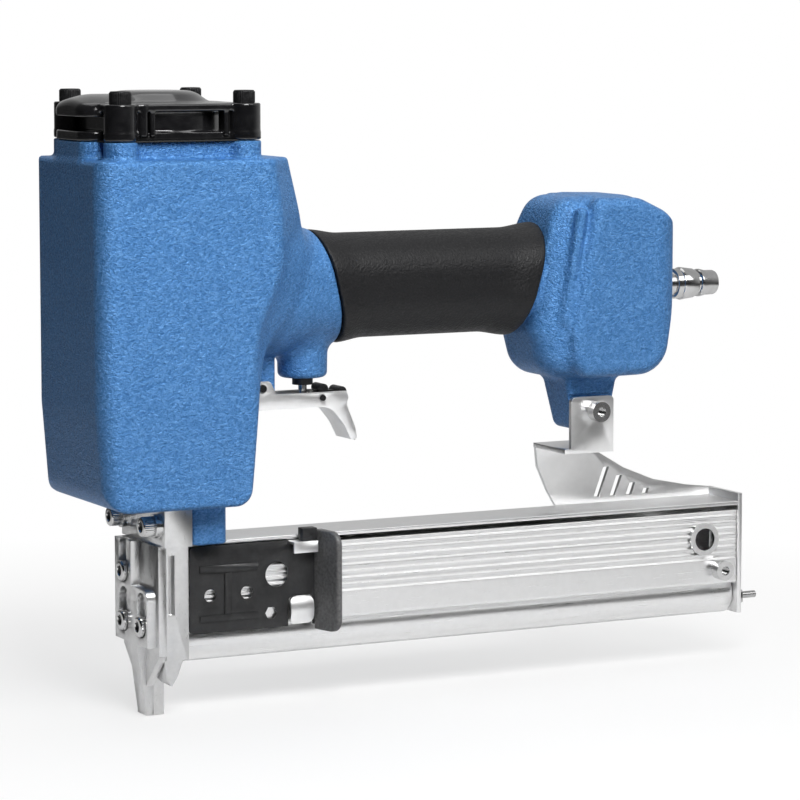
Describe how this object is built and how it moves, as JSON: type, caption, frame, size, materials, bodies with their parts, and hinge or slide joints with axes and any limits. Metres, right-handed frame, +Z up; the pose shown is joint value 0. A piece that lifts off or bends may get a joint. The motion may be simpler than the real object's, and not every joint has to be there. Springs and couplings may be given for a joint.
{
  "type": "pneumatic nail gun",
  "caption": "Air-driven brad nailer with a painted cast body, rubber grip, trigger, side-loading magazine with a sprung pusher and a plug-in air inlet.",
  "frame": {"origin": "nose tip, on the driver's line", "axes": "+Z up the cylinder, +X back along the handle and magazine, -Y the loading side"},
  "size_m": [0.3195, 0.07, 0.2485],
  "materials": {
    "painted_casting": "hammered metallic blue paint on an aluminium casting",
    "grip_rubber": "pebbled matt rubber",
    "plated_steel": "bright plated steel",
    "black_casting": "gloss black paint on an aluminium casting",
    "seal_rubber": "smooth rubber",
    "black_steel": "black oxide",
    "bare_aluminium": "machined",
    "tool_steel": "ground",
    "black_plastic": "moulded",
    "spring_steel": "bright wire",
    "cast_steel": "satin plated investment casting",
    "magazine_aluminium": "brushed extrusion",
    "sheet_steel": "stainless sheet",
    "blackened_steel": "satin black",
    "guard_casting": "dark grey",
    "trigger_steel": "bright plated sheet"
  },
  "bodies": {
    "tool": {"housing": "painted_casting", "handle_end_block": "painted_casting", "grip_sleeve": "grip_rubber", "air_plug": "plated_steel", "head_cap": "black_casting", "cap_gasket": "seal_rubber", "cap_screws": "black_steel", "cylinder_sleeve": "bare_aluminium", "cylinder_seals": "seal_rubber", "bumper": "seal_rubber", "head_valve_spring": "spring_steel", "nose_body": "cast_steel", "nose_front_plate": "cast_steel", "nose_fixings": "plated_steel", "flange_fixings": "plated_steel", "flange_washers": "plated_steel", "magazine_rail": "magazine_aluminium", "magazine_top_plate": "sheet_steel", "spring_rod": "spring_steel", "rod_nut": "plated_steel", "magazine_grommet": "plated_steel", "magazine_screw": "plated_steel", "pusher_spring": "spring_steel", "rear_bracket": "sheet_steel", "bracket_bolt": "plated_steel", "trigger_pin": "black_steel", "valve_body": "black_plastic", "valve_top_plug": "black_plastic", "valve_spring": "spring_steel"},
    "driver": {"piston": "bare_aluminium", "piston_seal": "seal_rubber", "driver_blade": "tool_steel", "driver_pin": "tool_steel"},
    "head_valve": {"head_valve": "black_plastic", "head_valve_seal": "seal_rubber"},
    "trigger": {"trigger": "trigger_steel", "catch_pin": "black_steel"},
    "trigger_catch": {"trigger_catch": "black_steel"},
    "valve_stem": {"valve_stem": "plated_steel"},
    "pusher": {"pusher_side_plate": "blackened_steel", "pusher_guard": "guard_casting", "pusher_arm": "sheet_steel", "pusher_thumb_pad": "black_plastic", "pusher_blade": "tool_steel"},
    "pusher_catch": {"pusher_catch": "sheet_steel"}
  },
  "joints": [
    {"name": "driver_stroke", "type": "slide", "parent": "tool", "child": "driver", "axis": [0, 0, -1], "range_m": [0, 0.068]},
    {"name": "head_valve_lift", "type": "slide", "parent": "tool", "child": "head_valve", "axis": [0, 0, 1], "range_m": [0, 0.004], "stiffness_N_per_m": 400, "springref_m": -0.004, "deforming": ["head_valve_spring"]},
    {"name": "trigger_pull", "type": "hinge", "parent": "tool", "child": "trigger", "pos_m": [0.0462, 0, 0.1288], "axis": [0, -1, 0], "range_deg": [0, 5], "stiffness_Nm_per_rad": 0.3, "springref_deg": -8.59},
    {"name": "valve_stem_lift", "type": "slide", "parent": "tool", "child": "valve_stem", "axis": [0, 0, 1], "range_m": [0, 0.0021], "deforming": ["valve_spring"]},
    {"name": "catch_swing", "type": "hinge", "parent": "trigger", "child": "trigger_catch", "pos_m": [0.0729, 0, 0.1238], "axis": [0, -1, 0], "range_deg": [0, 12], "stiffness_Nm_per_rad": 0.01, "springref_deg": -11.46},
    {"name": "pusher_slide", "type": "slide", "parent": "tool", "child": "pusher", "axis": [1, 0, 0], "range_m": [0, 0.15], "stiffness_N_per_m": 30, "springref_m": -0.12, "deforming": ["pusher_spring"]},
    {"name": "catch_press", "type": "hinge", "parent": "pusher", "child": "pusher_catch", "pos_m": [0.0596, -0.013, 0.0446], "axis": [1, 0, 0], "range_deg": [0, 3], "stiffness_Nm_per_rad": 0.01, "springref_deg": -11.46}
  ],
  "couplings": [
    {"joint": "valve_stem_lift", "follows": "trigger_pull", "m_per_rad": 0.0209}
  ]
}
